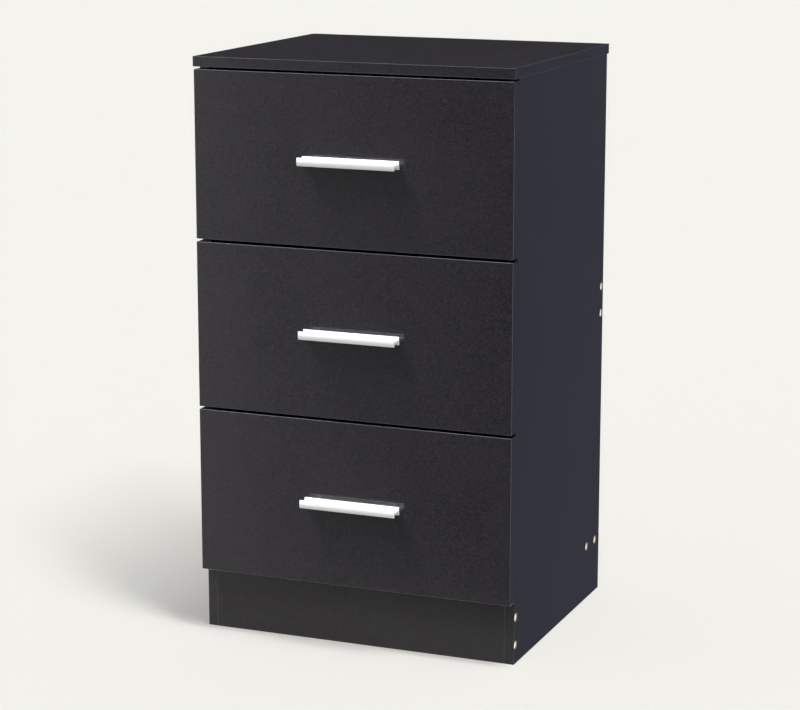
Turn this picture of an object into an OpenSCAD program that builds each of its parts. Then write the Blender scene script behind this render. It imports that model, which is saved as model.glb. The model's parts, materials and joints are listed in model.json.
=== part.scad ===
// Nightstand with three drawers: laminated boards, a plinth and bar pulls.
// The front faces -Y, the right side is +X and up is +Z. Sizes are in millimetres.
// The origin is under the middle of the whole piece, pulls included, on the floor.

/* [Cabinet] */
// Width of the top board
top_w = 400; // [360:1:600]
// Depth of the top board, from the drawer faces to the back
top_d = 345; // [345:1:450]
// Height from the floor to the top surface
total_h = 700; // [690:1:900]
// Thickness of the carcass boards and of the drawer boxes
board_t = 12; // [12:0.5:16]
// How far the top stands out past each side
top_side_lip = 1; // [0:0.5:4]
// How far the top stands out past the back panel
top_back_lip = 1; // [0:0.5:6]
// Thickness of the hardboard back and of the drawer bottoms
sheet_t = 3; // [2.5:0.1:4]

/* [Plinth and rails] */
// Height of the kick board, which ends behind the bottom drawer front
kick_h = 80; // [78:1:90]
// Height of the middle back rail
rail_h = 72; // [60:1:73]
// Depth of the flat rail at the bottom of the back
flat_rail_d = 65; // [56:1:80]
// Height of the middle back rail's centre
back_rail_z = 380; // [340:1:420]
// Height of the flat rail's centre
flat_rail_z = 68.5; // [66:0.5:69]
// Distance between the two screws of a joint
screw_pitch = 34; // [28:1:36]

/* [Drawers] */
// Thickness of a drawer front
front_t = 15; // [14:0.5:18]
// Height of a drawer front's lower edge over the floor, bottom drawer
front_base = 76.5; // [76:0.5:80]
// Gap between the top board and the top drawer front
top_gap = 3; // [2:0.5:5]
// Gap between two drawer fronts
front_gap = 3.5; // [2:0.5:5]
// Gap between the back of a drawer front and the carcass
seat_gap = 1; // [0.5:0.1:2]
// Length of the drawer sides
box_len = 300; // [280:1:302]
// Height of the drawer sides
box_h = 130; // [100:1:140]
// Height of the drawer sides over the front's lower edge
box_lift = 22; // [18:0.5:26]
// How far a drawer pulls out
travel = 240; // [200:1:245]

/* [Pulls] */
// Length of a pull
pull_len = 121; // [110:1:180]
// Height of the pull's two flanges
pull_h = 9.5; // [8.5:0.1:14]
// How far the pull stands out of the drawer face
pull_out = 17; // [15:0.5:26]
// Thickness of the rear flange
pull_rear_t = 2; // [1.5:0.1:3]
// Thickness of the front flange at its middle
pull_front_t = 2.4; // [2:0.1:3]
// Thickness of the web between the flanges
pull_web_t = 3.4; // [2:0.1:4]
// Bulge of the front flange's face
pull_bulge = 0.8; // [0.3:0.1:1.2]
// Distance between the two screws of a pull
pull_pitch = 96; // [64:32:96]

/* [Runners] */
// Room for the runners on each side of a drawer
runner_room = 12.5; // [12.5:0.1:13.5]
// Length of the cabinet runners
runner_len = 300; // [280:1:302]
// Thickness of the runner steel
steel_t = 1.2; // [1:0.1:1.3]
// Radius of the rollers
roller_r = 9.5; // [8.5:0.1:10]
// Width of a roller
roller_w = 5.9; // [5:0.1:6]
// Gap between a roller and the track it runs on
roll_gap = 0.3; // [0.2:0.05:0.5]

/* [Hidden] */
$fn = 48;
eps = 0.01;

// Planes of the carcass
face_y = (pull_out - top_d) / 2;
top_back_y = face_y + top_d;
body_w = top_w - 2 * top_side_lip;
outer_x = body_w / 2;
inner_x = outer_x - board_t;
front_back_y = face_y + front_t;
side_front_y = front_back_y + seat_gap;
side_back_y = top_back_y - top_back_lip - sheet_t;
side_top_z = total_h - board_t;
kick_z = kick_h / 2;
kick_y = side_front_y + board_t / 2;
back_rail_y = side_back_y - board_t / 2;
flat_rail_y = side_back_y - flat_rail_d / 2;

// Heights of the three drawers, from the top one down
front_h = (side_top_z - top_gap - front_base - 2 * front_gap) / 3;
drawer_zs = [for (i = [2, 1, 0]) front_base + i * (front_h + front_gap)];

// Drawer boxes
box_x = inner_x - runner_room;
box_in_x = box_x - board_t;
box_back_y = front_back_y + box_len;
groove_d = 5;
groove_z = 10;
groove_h = sheet_t + 0.3;
pocket_r = 7.5;
pocket_d = 10.5;
pocket_in = 24;
bolt_r = 3;
fix_low = 28;
fix_high = box_h - 20;

// Runners, measured from the height of the roller track
track_up = 9;
half_track = roller_r + roll_gap;
track_z = box_lift + track_up;
lip_z = half_track + steel_t + 0.8;
front_roller_up = lip_z - roll_gap - roller_r;
runner_front_y = side_front_y + 2;
front_roller_y = runner_front_y + 14;
rear_roller_y = box_back_y - 14;
stop_y = rear_roller_y - travel - roller_r - roll_gap;
track_start_y = stop_y - steel_t;
track_in_x = inner_x - 9.5;
roller_in_x = box_x + steel_t + 1.4;
roller_out_x = roller_in_x + roller_w;
pin_r = 2;
pin_gap = 0.1;
bore_r = pin_r + 0.08;
runner_screw_ys = [44, 146, 266];
flange_screw_ys = [40, 150, 262];

// Colours
board_black = [0.05, 0.048, 0.055];
sheet_dark = [0.09, 0.085, 0.085];
silver = [0.86, 0.87, 0.88];
zinc = [0.72, 0.72, 0.74];
runner_black = [0.12, 0.12, 0.13];
nylon = [0.88, 0.88, 0.86];
beech = [0.76, 0.6, 0.42];

// ---- helpers ----

// A box between two corners
module slab(low, high) {
    translate(low)
        cube(high - low);
}

// Turns +Z to point in from one side, for side 1 on the right and -1 on the left
module from_side(side, y, z, x = outer_x) {
    translate([side * x, y, z])
        rotate([0, -90 * side, 0])
            children();
}

// Turns +Z to point backwards, along +Y
module backwards(x, y, z) {
    translate([x, y, z])
        rotate([-90, 0, 0])
            children();
}

module cross_recess(depth, reach = 2.4, slot_w = 0.9) {
    for (turn = [0, 90])
        rotate([0, 0, turn])
            translate([-reach, -slot_w / 2, -eps])
                cube([2 * reach, slot_w, depth + eps]);
}

// Connecting screw for boards, its head 1.5 under the surface
screw_sink = 1.5;
screw_len = 46;

module carcass_screw() {
    difference() {
        union() {
            translate([0, 0, screw_sink])
                cylinder(r = 5, h = 1.2);
            translate([0, 0, screw_sink + 1.2])
                cylinder(r1 = 5, r2 = 3.4, h = 2.4);
            translate([0, 0, screw_sink + 3.6])
                cylinder(r = 3.4, h = board_t - 0.6 - screw_sink - 3.6);
            translate([0, 0, board_t - 0.6])
                cylinder(r = 2.6, h = screw_len - board_t + 0.6);
        }
        translate([0, 0, screw_sink])
            cross_recess(1.4);
    }
}

module carcass_screw_hole() {
    translate([0, 0, -1])
        cylinder(r = 5.3, h = 1 + screw_sink + 1.2);
    translate([0, 0, screw_sink + 1.2 - eps])
        cylinder(r1 = 5.3, r2 = 3.6, h = 2.4 + 2 * eps);
    translate([0, 0, screw_sink + 3.6])
        cylinder(r = 3.6, h = board_t);
}

module pilot_hole(depth, r = 2.65) {
    translate([0, 0, -1])
        cylinder(r = r, h = depth + 1);
}

// The six places where a side panel is screwed to the boards between the sides
screw_places = [
    [kick_y, kick_z - screw_pitch / 2], [kick_y, kick_z + screw_pitch / 2],
    [back_rail_y, back_rail_z - screw_pitch / 2], [back_rail_y, back_rail_z + screw_pitch / 2],
    [flat_rail_y - screw_pitch / 2, flat_rail_z], [flat_rail_y + screw_pitch / 2, flat_rail_z]
];

// Where the top is held to a side panel
top_bolt_ys = [side_front_y + 50, side_back_y - 50];
top_dowel_ys = [side_front_y + 86, side_back_y - 86];
edge_x = inner_x + board_t / 2;
dowel_r = 3;
dowel_up = 8;
dowel_down = 14;

// Round cam with a bore for the bolt, face on z = 0 and body towards +Z; the bolt comes along -X
module cam_body() {
    difference() {
        cylinder(r = pocket_r - 0.15, h = pocket_d - 0.2);
        translate([0, 0, board_t / 2])
            rotate([0, -90, 0])
                cylinder(r = bolt_r + 0.25, h = pocket_r + 1);
        cross_recess(1.2, 3.2, 1.1);
    }
}

// Bolt from the cam's middle along +Z: plain shank up to edge, then thread
module cam_bolt(edge, thread = 8) {
    translate([0, 0, 1.2])
        cylinder(r = bolt_r, h = edge - 1.2);
    translate([0, 0, edge - eps])
        cylinder(r = 2.5, h = thread);
}

// Nails of the back panel, as [x, z]: a row into each side panel and three into each rail
sheet_in = 3;
sheet_low_z = flat_rail_z - board_t / 2 + 1;
sheet_high_z = side_top_z - 1;
nail_r = 0.75;
nail_in = 12;
nail_margin = 12;
nail_gaps = 6;
nail_step = (sheet_high_z - sheet_low_z - 2 * nail_margin) / nail_gaps;
side_nails = [
    for (i = [0 : nail_gaps])
        [edge_x, sheet_low_z + nail_margin + i * nail_step]
];
middle_nails = [for (x = [-110, 0, 110]) [x, back_rail_z]];
bottom_nails = [for (x = [-110, 0, 110]) [x, flat_rail_z]];
left_nails = [for (place = side_nails) [-place[0], place[1]]];
nail_places = concat(side_nails, left_nails, middle_nails, bottom_nails);

module nail_holes(places) {
    for (place = places)
        backwards(place[0], side_back_y - nail_in - 0.3, place[1])
            cylinder(r = nail_r + 0.1, h = nail_in + sheet_t + 1.3);
}

// ---- carcass ----

module top_panel() {
    color(board_black)
        difference() {
            slab([-top_w / 2, face_y, side_top_z], [top_w / 2, top_back_y, total_h]);
            for (side = [-1, 1]) {
                for (y = top_bolt_ys)
                    translate([side * edge_x, y, side_top_z - 1])
                        cylinder(r = 2.6, h = 10);
                for (y = top_dowel_ys)
                    translate([side * edge_x, y, side_top_z - 1])
                        cylinder(r = dowel_r + 0.1, h = dowel_up + 1.3);
            }
        }
}

module side_panel() {
    color(board_black)
        difference() {
            slab([inner_x, side_front_y, 0], [outer_x, side_back_y, side_top_z]);
            for (place = screw_places)
                from_side(1, place[0], place[1])
                    carcass_screw_hole();
            for (y = top_bolt_ys) {
                translate([inner_x - 1, y, side_top_z - pocket_in])
                    rotate([0, 90, 0])
                        cylinder(r = pocket_r, h = pocket_d + 1);
                translate([edge_x, y, side_top_z - pocket_in])
                    cylinder(r = bolt_r + 0.25, h = pocket_in + 1);
            }
            for (y = top_dowel_ys)
                translate([edge_x, y, side_top_z - dowel_down - 0.3])
                    cylinder(r = dowel_r + 0.1, h = dowel_down + 2);
            for (z0 = drawer_zs)
                for (dy = runner_screw_ys)
                    translate([inner_x - 1, runner_front_y + dy, z0 + track_z])
                        rotate([0, 90, 0])
                            cylinder(r = 1.55, h = 10.5);
            nail_holes(side_nails);
        }
}

module side_panel_left() {
    mirror([1, 0, 0])
        side_panel();
}

module side_panel_right() {
    side_panel();
}

module cross_board(low, high, places, nails = []) {
    color(board_black)
        difference() {
            slab(low, high);
            nail_holes(nails);
            for (side = [-1, 1])
                for (place = places)
                    from_side(side, place[0], place[1], inner_x)
                        pilot_hole(screw_len - board_t + 1);
        }
}

module kick_board() {
    cross_board(
        [-inner_x, side_front_y, 0],
        [inner_x, side_front_y + board_t, kick_h],
        [screw_places[0], screw_places[1]]
    );
}

module back_rail_middle() {
    cross_board(
        [-inner_x, side_back_y - board_t, back_rail_z - rail_h / 2],
        [inner_x, side_back_y, back_rail_z + rail_h / 2],
        [screw_places[2], screw_places[3]],
        middle_nails
    );
}

module back_rail_bottom() {
    cross_board(
        [-inner_x, side_back_y - flat_rail_d, flat_rail_z - board_t / 2],
        [inner_x, side_back_y, flat_rail_z + board_t / 2],
        [screw_places[4], screw_places[5]],
        bottom_nails
    );
}

module back_panel() {
    color(sheet_dark)
        difference() {
            slab(
                [-outer_x + sheet_in, side_back_y, sheet_low_z],
                [outer_x - sheet_in, side_back_y + sheet_t, sheet_high_z]
            );
            nail_holes(nail_places);
        }
}

module back_panel_nails() {
    color(zinc)
        for (place = nail_places) {
            backwards(place[0], side_back_y - nail_in, place[1])
                cylinder(r = nail_r, h = nail_in + sheet_t + 0.1);
            backwards(place[0], side_back_y + sheet_t, place[1])
                cylinder(r = 1.9, h = 0.6);
        }
}

module carcass_screws() {
    color(zinc)
        for (side = [-1, 1])
            for (place = screw_places)
                from_side(side, place[0], place[1])
                    carcass_screw();
}

module top_cam_fittings() {
    color(zinc)
        for (side = [-1, 1])
            for (y = top_bolt_ys) {
                translate([side * (inner_x + 0.1), y, side_top_z - pocket_in])
                    rotate([0, 90 * side, 0])
                        rotate([0, 0, side > 0 ? 0 : 180])
                            cam_body();
                translate([side * edge_x, y, side_top_z - pocket_in])
                    cam_bolt(pocket_in);
            }
}

module top_dowels() {
    color(beech)
        for (side = [-1, 1])
            for (y = top_dowel_ys)
                translate([side * edge_x, y, side_top_z - dowel_down])
                    cylinder(r = dowel_r, h = dowel_up + dowel_down);
}

// ---- runners ----

// Right-hand cabinet runner: a channel for the rear roller with a folded stop at its front end,
// and the front roller's riveted axle; z0 is the drawer front's lower edge
module cabinet_runner(z0) {
    track = z0 + track_z;
    axle = track + front_roller_up;
    end_y = runner_front_y + runner_len;
    color(runner_black)
        difference() {
            union() {
                slab(
                    [inner_x - steel_t, runner_front_y, track - half_track - steel_t],
                    [inner_x, end_y, track + half_track + steel_t]
                );
                slab(
                    [track_in_x, track_start_y, track - half_track - steel_t],
                    [inner_x, end_y, track - half_track]
                );
                slab(
                    [track_in_x, track_start_y, track + half_track],
                    [inner_x, end_y, track + half_track + steel_t]
                );
                slab(
                    [track_in_x, track_start_y, track - half_track - steel_t / 2],
                    [inner_x, stop_y, track + half_track + steel_t / 2]
                );
                axle_pin(
                    inner_x - steel_t / 2, roller_out_x + pin_gap, roller_in_x - pin_gap,
                    front_roller_y, axle
                );
            }
            for (dy = runner_screw_ys)
                translate([inner_x - steel_t - 1, runner_front_y + dy, track])
                    rotate([0, 90, 0])
                        cylinder(r = 1.6, h = steel_t + 2);
        }
}

// Axle for a roller: from the steel at root_x over a shoulder, through the roller, to a flat head
module axle_pin(root_x, shoulder_x, end_x, y, z) {
    along_x(root_x, shoulder_x, 4, y, z);
    along_x(root_x, end_x, pin_r, y, z);
    along_x(end_x, end_x + 0.5 * sign(end_x - root_x), 2.8, y, z);
}

module along_x(x0, x1, r, y, z) {
    translate([min(x0, x1), y, z])
        rotate([0, 90, 0])
            cylinder(r = r, h = abs(x1 - x0));
}

// Right-hand drawer runner: a web beside the box, a foot under it and a lip over the roller
module drawer_runner(z0) {
    base_z = z0 + box_lift;
    track = z0 + track_z;
    lip_top_z = track + lip_z + steel_t;
    start_y = front_back_y + 0.5;
    color(runner_black)
        difference() {
            union() {
                slab([box_x, start_y, base_z - steel_t], [box_x + steel_t, box_back_y, lip_top_z]);
                slab([box_in_x + 0.5, start_y, base_z - steel_t], [box_x + steel_t, box_back_y, base_z]);
                slab([box_x, start_y, track + lip_z], [inner_x - 3.5, box_back_y, lip_top_z]);
                axle_pin(
                    box_x + steel_t / 2, roller_in_x - pin_gap, roller_out_x + pin_gap,
                    rear_roller_y, track
                );
            }
            for (dy = flange_screw_ys)
                translate([flange_screw_x, front_back_y + dy, base_z - steel_t - 1])
                    cylinder(r = 1.6, h = steel_t + 2);
        }
}

flange_screw_x = box_x - 4;

module mirrored() {
    mirror([1, 0, 0])
        children();
}

module roller_pair(y, z) {
    color(nylon)
        for (side = [-1, 1])
            translate([side > 0 ? roller_in_x : -roller_out_x, y, z])
                rotate([0, 90, 0])
                    difference() {
                        cylinder(r = roller_r, h = roller_w);
                        translate([0, 0, -1])
                            cylinder(r = bore_r, h = roller_w + 2);
                        for (face = [-1, roller_w - 0.8])
                            translate([0, 0, face])
                                difference() {
                                    cylinder(r = roller_r - 2, h = 1.8);
                                    translate([0, 0, -1])
                                        cylinder(r = 4.2, h = 4);
                                }
                    }
}

module front_rollers(z0) {
    roller_pair(front_roller_y, z0 + track_z + front_roller_up);
}

module rear_rollers(z0) {
    roller_pair(rear_roller_y, z0 + track_z);
}

// Small wood screw along +Z, the underside of its head at z = 0
module small_screw(length, head_r = 2.9, head_h = 1.3) {
    difference() {
        union() {
            translate([0, 0, -head_h])
                cylinder(r1 = head_r - 0.5, r2 = head_r, h = head_h);
            cylinder(r = 1.5, h = length);
        }
        translate([0, 0, -head_h])
            cross_recess(0.8, 1.6, 0.6);
    }
}

module cabinet_runner_screws() {
    color(zinc)
        for (side = [-1, 1])
            for (z0 = drawer_zs)
                for (dy = runner_screw_ys)
                    translate([side * (inner_x - steel_t), runner_front_y + dy, z0 + track_z])
                        rotate([0, 90 * side, 0])
                            small_screw(10);
}

module drawer_runner_screws(z0) {
    color(zinc)
        for (side = [-1, 1])
            for (dy = flange_screw_ys)
                translate([side * flange_screw_x, front_back_y + dy, z0 + box_lift - steel_t])
                    small_screw(12);
}

// ---- drawers ----

// Heights of the fixings on a drawer side
fix_zs = [fix_low, fix_high];

module drawer_front(z0) {
    color(board_black)
        difference() {
            slab([-outer_x, face_y, z0], [outer_x, front_back_y, z0 + front_h]);
            for (x = [-1, 1]) {
                backwards(x * pull_pitch / 2, face_y - 1, z0 + front_h / 2)
                    cylinder(r = 2.2, h = front_t + 2);
                for (z = fix_zs)
                    backwards(x * (box_x - board_t / 2), front_back_y - 9, z0 + box_lift + z)
                        cylinder(r = 2.6, h = 10);
            }
            slab(
                [-box_in_x - groove_d, front_back_y - groove_d, z0 + box_lift + groove_z],
                [box_in_x + groove_d, front_back_y + 1, z0 + box_lift + groove_z + groove_h]
            );
        }
}

module drawer_side(z0) {
    base_z = z0 + box_lift;
    mid_x = box_x - board_t / 2;
    color(board_black)
        difference() {
            slab([box_in_x, front_back_y, base_z], [box_x, box_back_y, base_z + box_h]);
            slab(
                [box_in_x - 1, front_back_y - 1, base_z + groove_z],
                [box_in_x + groove_d, box_back_y + 1, base_z + groove_z + groove_h]
            );
            for (z = fix_zs) {
                translate([box_in_x - 1, front_back_y + pocket_in, base_z + z])
                    rotate([0, 90, 0])
                        cylinder(r = pocket_r, h = pocket_d + 1);
                backwards(mid_x, front_back_y - 1, base_z + z)
                    cylinder(r = bolt_r + 0.25, h = pocket_in + 1);
                from_side(1, box_back_y - board_t / 2, base_z + z, box_x)
                    drawer_screw_hole();
            }
            for (dy = flange_screw_ys)
                translate([flange_screw_x, front_back_y + dy, base_z - 1])
                    cylinder(r = 1.55, h = 12.2);
        }
}

// Countersunk screw that holds a drawer side to the drawer back
module drawer_screw() {
    difference() {
        union() {
            translate([0, 0, 0.2])
                cylinder(r1 = 3.5, r2 = 1.75, h = 2.4);
            translate([0, 0, 2.5])
                cylinder(r = 1.75, h = 35);
        }
        translate([0, 0, 0.2])
            cross_recess(1, 1.8, 0.7);
    }
}

module drawer_screw_hole() {
    translate([0, 0, -1])
        cylinder(r = 3.6, h = 1.1);
    translate([0, 0, 0.1 - eps])
        cylinder(r1 = 3.6, r2 = 1.85, h = 2.6);
    translate([0, 0, 2.6])
        cylinder(r = 1.85, h = board_t);
}

module drawer_screws(z0) {
    color(zinc)
        for (side = [-1, 1])
            for (z = fix_zs)
                from_side(side, box_back_y - board_t / 2, z0 + box_lift + z, box_x)
                    drawer_screw();
}

module drawer_back(z0) {
    base_z = z0 + box_lift;
    color(board_black)
        difference() {
            slab(
                [-box_in_x, box_back_y - board_t, base_z + groove_z + groove_h],
                [box_in_x, box_back_y, base_z + box_h]
            );
            for (side = [-1, 1])
                for (z = fix_zs)
                    from_side(side, box_back_y - board_t / 2, base_z + z, box_in_x)
                        pilot_hole(28, 1.85);
        }
}

module drawer_base(z0) {
    reach_x = box_in_x + groove_d - 0.2;
    color(sheet_dark)
        slab(
            [-reach_x, front_back_y - groove_d + 0.3, z0 + box_lift + groove_z + 0.15],
            [reach_x, box_back_y, z0 + box_lift + groove_z + 0.15 + sheet_t]
        );
}

module front_cam_fittings(z0) {
    color(zinc)
        for (side = [-1, 1])
            for (z = fix_zs) {
                translate([side * (box_in_x + 0.1), front_back_y + pocket_in, z0 + box_lift + z])
                    rotate([90, 0, 0])
                        rotate([0, 90 * side, 0])
                            rotate([0, 0, side > 0 ? 0 : 180])
                                cam_body();
                backwards(side * (box_x - board_t / 2), front_back_y + pocket_in, z0 + box_lift + z)
                    rotate([180, 0, 0])
                        cam_bolt(pocket_in);
            }
}

// ---- pulls ----

// Radius of the front flange's rounded face
bulge_r = (pow(pull_h / 2, 2) + pow(pull_bulge, 2)) / (2 * pull_bulge);

// Section across the pull: x is the depth from the drawer face, y is the height
module pull_section() {
    translate([-pull_rear_t, -pull_h / 2])
        square([pull_rear_t, pull_h]);
    translate([-pull_out + pull_front_t - eps, -pull_web_t / 2])
        square([pull_out - pull_front_t - pull_rear_t + 2 * eps, pull_web_t]);
    intersection() {
        translate([bulge_r - pull_out, 0])
            circle(r = bulge_r, $fn = 96);
        translate([-pull_out, -pull_h / 2])
            square([pull_front_t, pull_h]);
    }
}

module pull(z0) {
    mid_z = z0 + front_h / 2;
    color(silver)
        difference() {
            union() {
                translate([-pull_len / 2, face_y, mid_z])
                    rotate([90, 0, 90])
                        linear_extrude(height = pull_len)
                            pull_section();
                for (x = [-1, 1])
                    backwards(x * pull_pitch / 2, face_y - pull_out + pull_front_t - eps, mid_z)
                        cylinder(r = 3.6, h = pull_out - pull_front_t - pull_rear_t + 2 * eps);
            }
            for (x = [-1, 1])
                backwards(x * pull_pitch / 2, face_y - 10, mid_z)
                    cylinder(r = 2.05, h = 11);
        }
}

module pull_screws(z0) {
    color(zinc)
        for (x = [-1, 1])
            translate([x * pull_pitch / 2, front_back_y, z0 + front_h / 2])
                rotate([90, 0, 0])
                    difference() {
                        union() {
                            translate([0, 0, -2.4])
                                cylinder(r1 = 3.4, r2 = 4, h = 2.4);
                            cylinder(r = 2, h = front_t + 9);
                        }
                        translate([0, 0, -2.4])
                            cross_recess(1.4, 2.2, 0.9);
                    }
}

// ---- the whole piece ----

top_panel();
side_panel_left();
side_panel_right();
kick_board();
back_rail_middle();
back_rail_bottom();
back_panel();
carcass_screws();
top_cam_fittings();
top_dowels();
back_panel_nails();

mirrored() cabinet_runner(drawer_zs[0]);  // cabinet_runner_top_left
cabinet_runner(drawer_zs[0]);  // cabinet_runner_top_right
mirrored() cabinet_runner(drawer_zs[1]);  // cabinet_runner_middle_left
cabinet_runner(drawer_zs[1]);  // cabinet_runner_middle_right
mirrored() cabinet_runner(drawer_zs[2]);  // cabinet_runner_bottom_left
cabinet_runner(drawer_zs[2]);  // cabinet_runner_bottom_right
cabinet_runner_screws();

front_rollers(drawer_zs[0]);  // front_rollers_top
front_rollers(drawer_zs[1]);  // front_rollers_middle
front_rollers(drawer_zs[2]);  // front_rollers_bottom
rear_rollers(drawer_zs[0]);  // rear_rollers_top
rear_rollers(drawer_zs[1]);  // rear_rollers_middle
rear_rollers(drawer_zs[2]);  // rear_rollers_bottom

drawer_front(drawer_zs[0]);  // drawer_front_top
drawer_front(drawer_zs[1]);  // drawer_front_middle
drawer_front(drawer_zs[2]);  // drawer_front_bottom
mirrored() drawer_side(drawer_zs[0]);  // drawer_side_left_top
mirrored() drawer_side(drawer_zs[1]);  // drawer_side_left_middle
mirrored() drawer_side(drawer_zs[2]);  // drawer_side_left_bottom
drawer_side(drawer_zs[0]);  // drawer_side_right_top
drawer_side(drawer_zs[1]);  // drawer_side_right_middle
drawer_side(drawer_zs[2]);  // drawer_side_right_bottom
drawer_back(drawer_zs[0]);  // drawer_back_top
drawer_back(drawer_zs[1]);  // drawer_back_middle
drawer_back(drawer_zs[2]);  // drawer_back_bottom
drawer_base(drawer_zs[0]);  // drawer_base_top
drawer_base(drawer_zs[1]);  // drawer_base_middle
drawer_base(drawer_zs[2]);  // drawer_base_bottom

pull(drawer_zs[0]);  // pull_top
pull(drawer_zs[1]);  // pull_middle
pull(drawer_zs[2]);  // pull_bottom
pull_screws(drawer_zs[0]);  // pull_screws_top
pull_screws(drawer_zs[1]);  // pull_screws_middle
pull_screws(drawer_zs[2]);  // pull_screws_bottom

mirrored() drawer_runner(drawer_zs[0]);  // drawer_runner_left_top
mirrored() drawer_runner(drawer_zs[1]);  // drawer_runner_left_middle
mirrored() drawer_runner(drawer_zs[2]);  // drawer_runner_left_bottom
drawer_runner(drawer_zs[0]);  // drawer_runner_right_top
drawer_runner(drawer_zs[1]);  // drawer_runner_right_middle
drawer_runner(drawer_zs[2]);  // drawer_runner_right_bottom
drawer_runner_screws(drawer_zs[0]);  // drawer_runner_screws_top
drawer_runner_screws(drawer_zs[1]);  // drawer_runner_screws_middle
drawer_runner_screws(drawer_zs[2]);  // drawer_runner_screws_bottom
drawer_screws(drawer_zs[0]);  // drawer_screws_top
drawer_screws(drawer_zs[1]);  // drawer_screws_middle
drawer_screws(drawer_zs[2]);  // drawer_screws_bottom
front_cam_fittings(drawer_zs[0]);  // front_cam_fittings_top
front_cam_fittings(drawer_zs[1]);  // front_cam_fittings_middle
front_cam_fittings(drawer_zs[2]);  // front_cam_fittings_bottom
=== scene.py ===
"""Looks for a nightstand with three drawers: black laminated boards, silver pulls, roller runners.

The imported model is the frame, and each board, screw and runner is one of its nodes. This script
rounds their edges, gives them their materials, and sets the camera, the floor and the lights.
All lengths are in metres.
"""

import json
import math

import bpy
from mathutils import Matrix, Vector


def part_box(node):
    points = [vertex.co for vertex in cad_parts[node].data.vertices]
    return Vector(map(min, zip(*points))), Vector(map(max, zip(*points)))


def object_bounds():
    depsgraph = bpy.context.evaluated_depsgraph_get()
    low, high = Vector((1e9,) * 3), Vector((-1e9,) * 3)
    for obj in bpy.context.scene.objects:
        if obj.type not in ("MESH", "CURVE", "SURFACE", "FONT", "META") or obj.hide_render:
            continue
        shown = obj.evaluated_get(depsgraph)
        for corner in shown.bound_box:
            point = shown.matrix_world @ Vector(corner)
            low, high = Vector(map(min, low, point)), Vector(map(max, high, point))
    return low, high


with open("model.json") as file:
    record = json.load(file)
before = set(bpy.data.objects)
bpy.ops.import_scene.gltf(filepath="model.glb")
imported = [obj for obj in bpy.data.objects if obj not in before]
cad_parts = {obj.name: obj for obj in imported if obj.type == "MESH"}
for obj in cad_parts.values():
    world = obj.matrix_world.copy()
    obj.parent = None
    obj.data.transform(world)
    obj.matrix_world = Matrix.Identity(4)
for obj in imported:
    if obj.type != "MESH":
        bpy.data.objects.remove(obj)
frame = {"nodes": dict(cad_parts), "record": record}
cad_low, cad_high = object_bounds()

MM = 0.001

# ---- camera: in front and to the right, a little above the top board ----

CAMERA_AZIMUTH = math.radians(22.1)
CAMERA_ELEVATION = math.radians(12.19)
CAMERA_DISTANCE = 3.007
LENS_MM = 110
SENSOR_MM = 36
AIM_RIGHT = -0.0048
AIM_UP = -0.0235


def make_camera():
    """Aims at a point just off the middle of the piece."""
    right = Vector((math.cos(CAMERA_AZIMUTH), math.sin(CAMERA_AZIMUTH), 0))
    back = Vector((
        math.sin(CAMERA_AZIMUTH) * math.cos(CAMERA_ELEVATION),
        -math.cos(CAMERA_AZIMUTH) * math.cos(CAMERA_ELEVATION),
        math.sin(CAMERA_ELEVATION),
    ))
    middle = Vector((0, 0, (cad_low.z + cad_high.z) / 2))
    aim = middle + AIM_RIGHT * right + Vector((0, 0, AIM_UP))
    camera = bpy.data.objects.new("camera", bpy.data.cameras.new("camera"))
    camera.data.lens = LENS_MM
    camera.data.sensor_width = SENSOR_MM
    camera.location = aim + CAMERA_DISTANCE * back
    camera.rotation_euler = (-back).to_track_quat("-Z", "Y").to_euler()
    bpy.context.scene.collection.objects.link(camera)
    bpy.context.scene.camera = camera


# ---- shader helpers ----

# Most of what a noise texture gives lies between these two values.
NOISE_LOW = 0.3
NOISE_HIGH = 0.7


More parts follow.
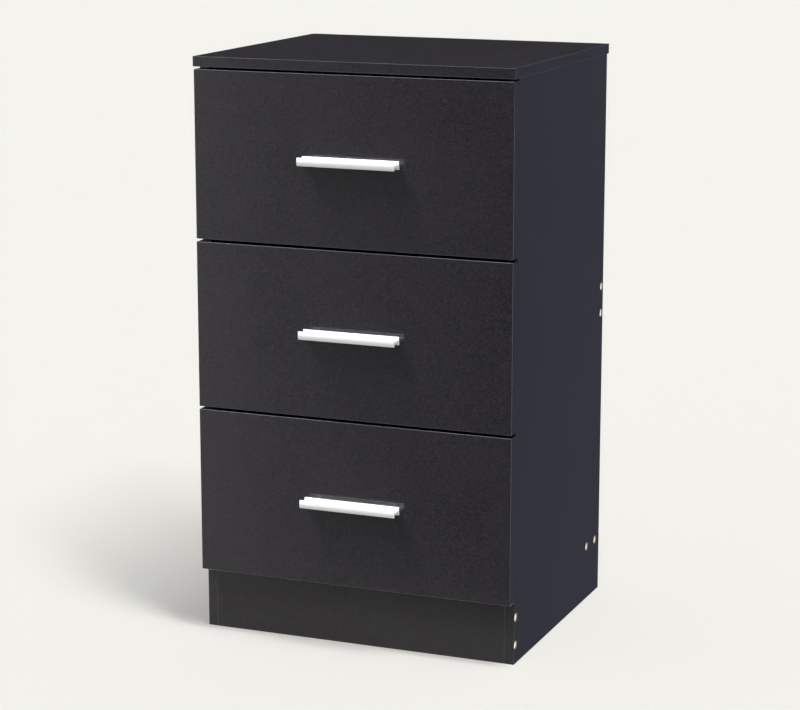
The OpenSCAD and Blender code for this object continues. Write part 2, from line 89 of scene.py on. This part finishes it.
class Shader:
    """A material's nodes, made one at a time and fed by other nodes or by plain values."""

    def __init__(self, name):
        self.material = bpy.data.materials.new(name)
        self.material.use_nodes = True
        self.tree = self.material.node_tree
        self.surface = self.tree.nodes["Principled BSDF"]
        self.place = self.node("TexCoord").outputs["Object"]

    def node(self, kind, inputs=None, **settings):
        made = self.tree.nodes.new("ShaderNode" + kind)
        for name, value in settings.items():
            setattr(made, name, value)
        for key, value in (inputs or {}).items():
            self.feed(made.inputs[key], value)
        return made

    def feed(self, socket, value):
        if isinstance(value, bpy.types.NodeSocket):
            self.tree.links.new(value, socket)
        else:
            socket.default_value = value

    def math(self, operation, a, b=0.0):
        return self.node("Math", {0: a, 1: b}, operation=operation).outputs[0]

    def vector(self, operation, a, b):
        return self.node("VectorMath", {0: a, 1: b}, operation=operation).outputs[0]

    def noise(self, size, detail=2.0, stretch=(1, 1, 1)):
        """Noise from 0 to 1 whose spots are about size across, and longer where it is stretched."""
        place = self.vector("DIVIDE", self.place, [size * factor for factor in stretch])
        inputs = {"Vector": place, "Scale": 1.0, "Detail": detail}
        return self.node("TexNoise", inputs).outputs[0]

    def span(self, value, low, high, to_low=0.0, to_high=1.0):
        """Turns low to high into to_low to to_high, and holds the ends."""
        inputs = {0: value, 1: low, 2: high, 3: to_low, 4: to_high}
        return self.node("MapRange", inputs).outputs[0]

    def spread(self, noise, to_low=0.0, to_high=1.0):
        """Spreads noise over all of to_low to to_high."""
        return self.span(noise, NOISE_LOW, NOISE_HIGH, to_low, to_high)

    def mix(self, share, a, b):
        """Colour a where share is 0 and colour b where it is 1."""
        inputs = {0: share, 6: a, 7: b}
        return self.node("Mix", inputs, data_type="RGBA").outputs[2]

    def bump(self, height, depth):
        return self.node("Bump", {"Height": height, "Distance": depth}).outputs[0]

    def done(self, colour, rough, normal, **constants):
        """Links the three patterns to the surface and sets what is the same all over it."""
        self.feed(self.surface.inputs["Base Color"], colour)
        self.feed(self.surface.inputs["Roughness"], rough)
        self.feed(self.surface.inputs["Normal"], normal)
        for name, value in constants.items():
            self.surface.inputs[name.replace("_", " ")].default_value = value
        return self.material


def rgb(red, green, blue):
    return (red, green, blue, 1.0)


# ---- materials ----

LAMINATE_DARK = rgb(0.0035, 0.0032, 0.0041)
LAMINATE_LIGHT = rgb(0.0215, 0.0198, 0.025)
LAMINATE_IOR = 1.65
CLOUD_SHOWS = 0.35
# The seam colour is a lighter grey-blue along every board edge: partly the edge band's seam, partly
# a painted highlight standing in for light caught on the rounded edges.
SEAM_AND_HIGHLIGHT = rgb(0.06, 0.062, 0.07)
SEAM_AND_HIGHLIGHT_WIDTH = 0.6 * MM
SEAM_AND_HIGHLIGHT_SHOWS = 0.6
CORE_DARK = rgb(0.22, 0.125, 0.07)
CORE_LIGHT = rgb(0.5, 0.34, 0.21)
CORE_DEPTH = 0.3 * MM
CORE_ROUGH = 0.85
SOFTENING = 0.15 * MM


def edge_masks(shader, node):
    """Where a board's edges are, for the seam with its painted highlight, and where its inside
    shows, from how far its box's faces are.
    """
    low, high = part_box(node)
    from_low = shader.vector("SUBTRACT", shader.place, low)
    from_high = shader.vector("SUBTRACT", high, shader.place)
    nearest = shader.vector("MINIMUM", from_low, from_high)
    x, y, z = shader.node("SeparateXYZ", {0: nearest}).outputs
    less = shader.math("MINIMUM", x, y)
    more = shader.math("MAXIMUM", x, y)
    to_face = shader.math("MINIMUM", less, z)
    to_edge = shader.math("MAXIMUM", less, shader.math("MINIMUM", more, z))
    # Mask of the edge strip that gets the seam colour, which is partly a painted highlight.
    seam_and_highlight = shader.span(to_edge, SEAM_AND_HIGHLIGHT_WIDTH - SOFTENING, SEAM_AND_HIGHLIGHT_WIDTH + SOFTENING, 1, 0)
    core = shader.span(to_face, CORE_DEPTH - SOFTENING / 2, CORE_DEPTH + SOFTENING / 2)
    return seam_and_highlight, core


def board_material(node):
    """Black laminate with a fine pearl, lighter edge seams that are partly a painted highlight, and
    chipboard inside its holes.
    """
    shader = Shader("laminate_" + node)
    seam_and_highlight, core = edge_masks(shader, node)
    pearl = shader.noise(1.5 * MM)
    cloud = shader.noise(110 * MM)
    chips = shader.noise(1.6 * MM, detail=3)
    laminate = shader.mix(shader.spread(pearl), LAMINATE_DARK, LAMINATE_LIGHT)
    laminate = shader.mix(shader.span(cloud, 0.3, 0.8, 0, CLOUD_SHOWS), laminate, LAMINATE_LIGHT)
    # Paints the lighter edge line: the edge band's seam, with a painted highlight in it.
    laminate = shader.mix(shader.math("MULTIPLY", seam_and_highlight, SEAM_AND_HIGHLIGHT_SHOWS), laminate, SEAM_AND_HIGHLIGHT)
    chipboard = shader.mix(shader.span(chips, 0.35, 0.65), CORE_DARK, CORE_LIGHT)
    colour = shader.mix(core, laminate, chipboard)
    haze = shader.spread(cloud, 0.08, 0.11)
    gloss = shader.math("ADD", haze, shader.spread(pearl, 0, 0.04))
    rough = shader.math("MAXIMUM", gloss, shader.math("MULTIPLY", core, CORE_ROUGH))
    return shader.done(colour, rough, shader.bump(pearl, 0.005 * MM), IOR=LAMINATE_IOR)


def hardboard_material(name):
    """Thin dark fibreboard, mottled by its fibres."""
    shader = Shader(name)
    fibres = shader.noise(1.4 * MM, detail=4, stretch=(2.5, 1, 1))
    patches = shader.noise(35 * MM, detail=3)
    dark = rgb(0.018, 0.0165, 0.0155)
    light = rgb(0.042, 0.038, 0.035)
    patch = rgb(0.034, 0.031, 0.03)
    colour = shader.mix(shader.spread(fibres), dark, light)
    colour = shader.mix(shader.span(patches, 0.35, 0.7, 0, 0.5), colour, patch)
    rough = shader.span(fibres, 0.2, 0.8, 0.5, 0.68)
    return shader.done(colour, rough, shader.bump(fibres, 0.06 * MM))


def pull_material():
    """Satin silver with fine brushing along the bar."""
    shader = Shader("satin_silver")
    brushing = shader.noise(0.12 * MM, stretch=(160, 1, 1))
    haze = shader.noise(14 * MM)
    dull = rgb(0.63, 0.64, 0.65)
    bright = rgb(0.75, 0.755, 0.76)
    colour = shader.mix(shader.spread(brushing), dull, bright)
    brushed = shader.spread(brushing, 0.26, 0.34)
    rough = shader.math("ADD", brushed, shader.spread(haze, 0, 0.06))
    return shader.done(colour, rough, shader.bump(brushing, 0.004 * MM), Metallic=0.45)


def zinc_material(name, dull, bright, metal):
    """Plated steel with cloudy passivation and fine scratches."""
    shader = Shader(name)
    clouds = shader.noise(2.2 * MM, detail=3)
    scratches = shader.noise(0.15 * MM, detail=1, stretch=(9, 9, 1))
    colour = shader.mix(shader.spread(clouds), dull, bright)
    rough = shader.spread(clouds, 0.4, 0.28)
    return shader.done(colour, rough, shader.bump(scratches, 0.006 * MM), Metallic=metal)


def runner_material():
    """Steel under black epoxy, with the orange peel that powder leaves."""
    shader = Shader("black_epoxy")
    peel = shader.noise(1.1 * MM, detail=1)
    dust = shader.noise(0.35 * MM)
    black = rgb(0.014, 0.014, 0.016)
    grey = rgb(0.04, 0.04, 0.044)
    colour = shader.mix(shader.span(dust, 0.45, 0.75), black, grey)
    rough = shader.spread(peel, 0.32, 0.44)
    return shader.done(colour, rough, shader.bump(peel, 0.03 * MM))


def roller_material():
    """Natural nylon, a little cloudy, as it comes out of the mould."""
    shader = Shader("nylon")
    clouds = shader.noise(3.5 * MM, detail=3)
    grain = shader.noise(0.3 * MM, detail=1)
    dull = rgb(0.66, 0.65, 0.6)
    bright = rgb(0.8, 0.79, 0.75)
    colour = shader.mix(shader.spread(clouds), dull, bright)
    rough = shader.spread(grain, 0.38, 0.5)
    return shader.done(colour, rough, shader.bump(grain, 0.008 * MM))


def dowel_material():
    """Beech with its grain and its flecks along the dowel."""
    shader = Shader("beech")
    grain = shader.noise(0.5 * MM, detail=4, stretch=(1, 1, 18))
    flecks = shader.noise(0.25 * MM, detail=1, stretch=(1, 1, 8))
    dark = rgb(0.44, 0.27, 0.14)
    light = rgb(0.64, 0.45, 0.27)
    fleck = rgb(0.3, 0.16, 0.08)
    colour = shader.mix(shader.spread(grain), dark, light)
    colour = shader.mix(shader.span(flecks, 0.62, 0.72, 0, 0.5), colour, fleck)
    rough = shader.spread(grain, 0.55, 0.7)
    return shader.done(colour, rough, shader.bump(grain, 0.08 * MM))


# ---- the object ----

# How far each kind of piece has its edges rounded. The kinds that aren't here stay sharp.
ROUNDING = {
    "board": 0.45 * MM,
    "front": 0.5 * MM,
    "top": 0.12 * MM,
    "hardboard": 0.25 * MM,
    "pull": 0.2 * MM,
    "runner": 0.15 * MM,
    "roller": 0.3 * MM,
}
ROUNDING_STEPS = 2
SHARP_EDGE = math.radians(40)
SAME_PLACE = 0.002 * MM
FLAT_ANGLE = math.radians(0.2)


def round_edges(piece, radius):
    """Rounds the sharp edges and keeps the flat faces flat."""
    weld = piece.modifiers.new("weld", "WELD")
    weld.merge_threshold = SAME_PLACE
    flats = piece.modifiers.new("whole_faces", "DECIMATE")
    flats.decimate_type = "DISSOLVE"
    flats.angle_limit = FLAT_ANGLE
    bevel = piece.modifiers.new("rounding", "BEVEL")
    bevel.width = radius
    bevel.segments = ROUNDING_STEPS
    bevel.limit_method = "ANGLE"
    bevel.angle_limit = SHARP_EDGE
    bevel.use_clamp_overlap = False
    bevel.miter_outer = "MITER_ARC"
    smooth = piece.modifiers.new("flat_faces", "WEIGHTED_NORMAL")
    smooth.keep_sharp = False


def edging(name, finish):
    """The kind of rounding that a piece gets."""
    if name.startswith("drawer_front"):
        return "front"
    if name == "top_panel":
        return "top"
    return finish


def dress_nodes():
    """Gives each node its rounding and its material, by the finish that the record names."""
    shared = {
        "pull": pull_material(),
        "fastener": zinc_material("zinc", rgb(0.5, 0.5, 0.52), rgb(0.72, 0.72, 0.74), metal=0.75),
        "runner": runner_material(),
        "roller": roller_material(),
        "dowel": dowel_material(),
    }
    warm_zinc = zinc_material("warm_zinc", rgb(0.6, 0.53, 0.5), rgb(0.76, 0.7, 0.675), metal=0.0)
    for part in frame["record"]["subparts"]:
        name = part["node"]
        finish = part["material_slot"]
        piece = frame["nodes"][name]
        kind = edging(name, finish)
        if kind in ROUNDING:
            round_edges(piece, ROUNDING[kind])
        if finish == "board":
            material = board_material(name)
        elif finish == "hardboard":
            material = hardboard_material("hardboard_" + name)
        elif name == "carcass_screws":
            material = warm_zinc
        else:
            material = shared[finish]
        piece.data.materials.clear()
        piece.data.materials.append(material)


# ---- floor and world ----

BACKGROUND = rgb(0.905, 0.896, 0.863)
FLOOR_HALF = 60.0
FLOOR_TONE = 0.161
FLOOR_GLOW = 0.36
FLOOR_ROUGH = 0.9
FLOOR_SPECKLE = 0.01
CORNERS = [(-1, -1), (1, -1), (1, 1), (-1, 1)]


def make_sheet(name, places):
    """A flat sheet with its corners at four places."""
    mesh = bpy.data.meshes.new(name)
    mesh.from_pydata(places, [], [(0, 1, 2, 3)])
    sheet = bpy.data.objects.new(name, mesh)
    bpy.context.scene.collection.objects.link(sheet)
    return sheet


def make_floor():
    """A plain pale floor. Gloss doesn't see it, so that the dark boards stay dark."""
    floor = make_sheet("floor", [(x * FLOOR_HALF, y * FLOOR_HALF, 0) for x, y in CORNERS])
    shader = Shader("pale_floor")
    speckle = shader.noise(4 * MM, detail=3)
    dim = rgb(*[part * FLOOR_TONE * (1 - FLOOR_SPECKLE) for part in BACKGROUND[:3]])
    bright = rgb(*[part * FLOOR_TONE * (1 + FLOOR_SPECKLE) for part in BACKGROUND[:3]])
    colour = shader.mix(shader.spread(speckle), dim, bright)
    material = shader.done(
        colour,
        FLOOR_ROUGH,
        shader.bump(speckle, 0.01 * MM),
        Specular_IOR_Level=0.0,
        Emission_Color=BACKGROUND,
        Emission_Strength=FLOOR_GLOW,
    )
    floor.data.materials.append(material)
    floor.visible_glossy = False
    floor.visible_shadow = False
    return floor


def make_world():
    """An even off-white studio, unseen by gloss."""
    world = bpy.data.worlds.new("studio")
    world.use_nodes = True
    world.node_tree.nodes["Background"].inputs["Color"].default_value = BACKGROUND
    world.cycles_visibility.glossy = False
    bpy.context.scene.world = world


# ---- lights ----

# The suns of a key, each as its elevation and its turn from sideways to the front, in degrees.
KEY_PLACES = [(50, 36), (56, 31), (62, 26), (67, 21), (72, 17), (77, 14), (82, 12), (86, 11)]
KEY_STRENGTH = 10.6
KEY_SOFTNESS = math.radians(8)
FROM_RIGHT = 1
FROM_LEFT = -1
GLEAM_STRENGTH = 3.2
GLEAM_SOFTNESS = math.radians(40)
GLEAM_FROM = (-0.4, -0.28, 0.87)


def collect(name, things):
    """The collection that a light's linking asks for."""
    group = bpy.data.collections.new(name + "_lights")
    for thing in things:
        group.objects.link(thing)
    return group


def make_sun(name, strength, softness, towards):
    """A sun, and towards is the direction from the piece to it."""
    light = bpy.data.lights.new(name, "SUN")
    light.energy = strength
    light.angle = softness
    sun = bpy.data.objects.new(name, light)
    sun.rotation_euler = Vector(towards).to_track_quat("Z", "Y").to_euler()
    bpy.context.scene.collection.objects.link(sun)
    return sun


def make_key(name, side, lit):
    """A tall soft key on one side: a row of suns that light only lit, and that gloss doesn't see."""
    group = collect(name, lit)
    strength = KEY_STRENGTH / len(KEY_PLACES)
    for number, place in enumerate(KEY_PLACES):
        elevation, azimuth = (math.radians(degrees) for degrees in place)
        towards = (
            side * math.cos(elevation) * math.cos(azimuth),
            -math.cos(elevation) * math.sin(azimuth),
            math.sin(elevation),
        )
        sun = make_sun(f"{name}_{number}", strength, KEY_SOFTNESS, towards)
        sun.light_linking.receiver_collection = group
        sun.visible_glossy = False


def make_card(name, place, aim, width, height, brightness, colour=(1, 1, 1), lit=None):
    """A card that only shows in gloss, as bright at any size. It lights only lit, or everything."""
    light = bpy.data.lights.new(name, "AREA")
    light.shape = "RECTANGLE"
    light.size = width
    light.size_y = height
    light.energy = brightness * math.pi * width * height
    light.color = colour
    card = bpy.data.objects.new(name, light)
    card.location = place
    card.rotation_euler = (Vector(place) - Vector(aim)).to_track_quat("Z", "Y").to_euler()
    card.visible_diffuse = False
    card.visible_camera = False
    if lit:
        card.light_linking.receiver_collection = collect(name, lit)
    bpy.context.scene.collection.objects.link(card)


# The front wall dims from the left end of its slope to the right end, and is brighter still
# beyond the left end. Below WALL_LOW it has one even brightness and a yellower tint.
WALL_HALF = 2.2
WALL_Y = -1.5
SLOPE_LEFT = -0.75
SLOPE_RIGHT = -0.25
SLOPE_BRIGHT = 0.32
SLOPE_DIM = 0.095
EXTRA_LEFT = -0.94
EXTRA_RIGHT = -0.74
EXTRA_BRIGHT = 0.22
WALL_EVEN = 0.385
WALL_LOW = -0.44
WALL_HIGH = -0.36
TINT_LOW = rgb(1, 0.96, 0.83)
TINT_HIGH = rgb(1, 0.955, 0.95)


def make_front_wall():
    """A wall of light that only gloss sees, brighter to the left, and even below the floor."""
    places = [(x * WALL_HALF, WALL_Y, z * WALL_HALF) for x, z in CORNERS]
    wall = make_sheet("front_wall", places)
    shader = Shader("front_wall")
    x, _, z = shader.node("SeparateXYZ", {0: shader.place}).outputs
    slope = shader.span(x, SLOPE_LEFT, SLOPE_RIGHT, SLOPE_BRIGHT, SLOPE_DIM)
    extra = shader.span(x, EXTRA_LEFT, EXTRA_RIGHT, EXTRA_BRIGHT, 0)
    across = shader.math("ADD", slope, extra)
    high = shader.span(z, WALL_LOW, WALL_HIGH)
    lift = shader.math("MULTIPLY", shader.math("SUBTRACT", across, WALL_EVEN), high)
    brightness = shader.math("ADD", lift, WALL_EVEN)
    surface = shader.surface.inputs
    shader.feed(surface["Emission Strength"], brightness)
    shader.feed(surface["Emission Color"], shader.mix(high, TINT_LOW, TINT_HIGH))
    surface["Base Color"].default_value = rgb(0, 0, 0)
    surface["Specular IOR Level"].default_value = 0
    shader.material.cycles.emission_sampling = "NONE"
    wall.data.materials.append(shader.material)
    wall.visible_camera = False
    wall.visible_diffuse = False
    wall.visible_shadow = False


def make_lights(floor):
    """The left key lights the piece. The right key lights the floor, the pulls and the screws."""
    nodes = frame["nodes"]
    fronts = [nodes[name] for name in nodes if name.startswith("drawer_front")]
    pulls = [nodes[name] for name in nodes if name.startswith("pull")]
    make_key("right_key", FROM_RIGHT, [floor, nodes["carcass_screws"]] + pulls)
    make_key("left_key", FROM_LEFT, nodes.values())

    # A wide weak sun at the upper left, which only gloss sees, draws the rounded edges.
    gleam = make_sun("gleam", GLEAM_STRENGTH, GLEAM_SOFTNESS, GLEAM_FROM)
    gleam.visible_diffuse = False

    make_front_wall()
    make_card(
        "side_back",
        place=(0.9, 1.8, -0.1),
        aim=(0.2, 0.0, 0.35),
        width=1.6,
        height=2.8,
        brightness=0.155,
        colour=(0.7, 0.76, 1),
    )
    make_card(
        "top_back",
        place=(-0.8, 1.8, 0.9),
        aim=(0, 0, 0.7),
        width=1.4,
        height=0.7,
        brightness=0.02,
    )
    make_card(
        "right_edge",
        place=(1.9, 0.65, 0.0),
        aim=(0.2, 0.65, 0.0),
        width=1.3,
        height=0.9,
        brightness=4,
        colour=(0.8, 0.88, 1),
        lit=fronts,
    )
    make_card(
        "below",
        place=(-0.2, 0.44, -0.35),
        aim=(-0.2, 0.44, 0.35),
        width=1.2,
        height=1.2,
        brightness=5,
        colour=(1, 0.97, 0.93),
        lit=fronts,
    )


make_camera()
make_world()
make_lights(make_floor())
dress_nodes()

bpy.context.scene.view_settings.view_transform = "Standard"
